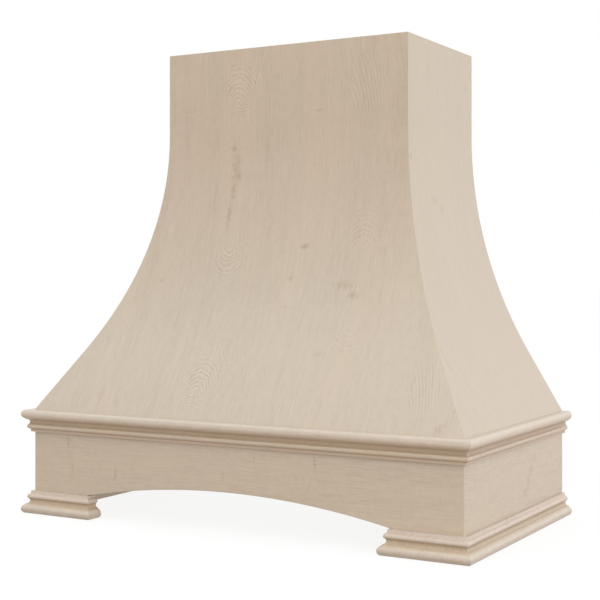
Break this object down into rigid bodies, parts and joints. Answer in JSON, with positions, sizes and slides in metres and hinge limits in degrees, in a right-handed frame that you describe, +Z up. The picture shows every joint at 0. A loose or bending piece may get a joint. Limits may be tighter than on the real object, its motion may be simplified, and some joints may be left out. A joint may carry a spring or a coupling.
{
  "type": "wooden range hood cover",
  "caption": "Unfinished wooden range hood cover: a straight chimney that flares in a concave curve to a moulded band with an arched front, open at the back, top and bottom.",
  "frame": {"origin": "centre of the footprint, at the lowest face", "axes": "+X to the right, +Y to the back (the wall), +Z up; the arched front faces -Y"},
  "size_m": [0.9524, 0.5144, 0.9144],
  "materials": {
    "maple_skin": "sanded, unfinished",
    "maple_board": "sanded, unfinished",
    "maple_moulding": "moulded, unfinished",
    "plywood": "sawn, unfinished",
    "pine": "planed, unfinished",
    "zinc_steel": "yellow zinc"
  },
  "bodies": {
    "root": {"front_skin": "maple_skin", "left_side_skin": "maple_skin", "right_side_skin": "maple_skin", "front_band_board": "maple_board", "left_side_band_board": "maple_board", "right_side_band_board": "maple_board", "front_chair_rail": "maple_moulding", "left_chair_rail": "maple_moulding", "right_chair_rail": "maple_moulding", "left_base_moulding": "maple_moulding", "right_base_moulding": "maple_moulding", "left_front_base_foot": "maple_moulding", "right_front_base_foot": "maple_moulding", "left_base_return": "maple_moulding", "right_base_return": "maple_moulding", "left_front_rib": "plywood", "right_front_rib": "plywood", "left_hip_rib": "plywood", "right_hip_rib": "plywood", "left_side_rib": "plywood", "right_side_rib": "plywood", "left_rear_former": "plywood", "right_rear_former": "plywood", "base_front_rail": "plywood", "left_base_side_rail": "plywood", "right_base_side_rail": "plywood", "rear_base_rail": "plywood", "top_front_rail": "plywood", "top_rear_rail": "plywood", "left_top_side_rail": "plywood", "right_top_side_rail": "plywood", "hanging_rail": "plywood", "front_ledge": "pine", "rear_ledge": "pine", "left_side_ledge": "pine", "right_side_ledge": "pine", "left_front_glue_block": "pine", "right_front_glue_block": "pine", "left_rear_glue_block": "pine", "right_rear_glue_block": "pine", "ledge_screws": "zinc_steel", "rib_foot_screws": "zinc_steel", "top_frame_screws": "zinc_steel"}
  },
  "joints": []
}
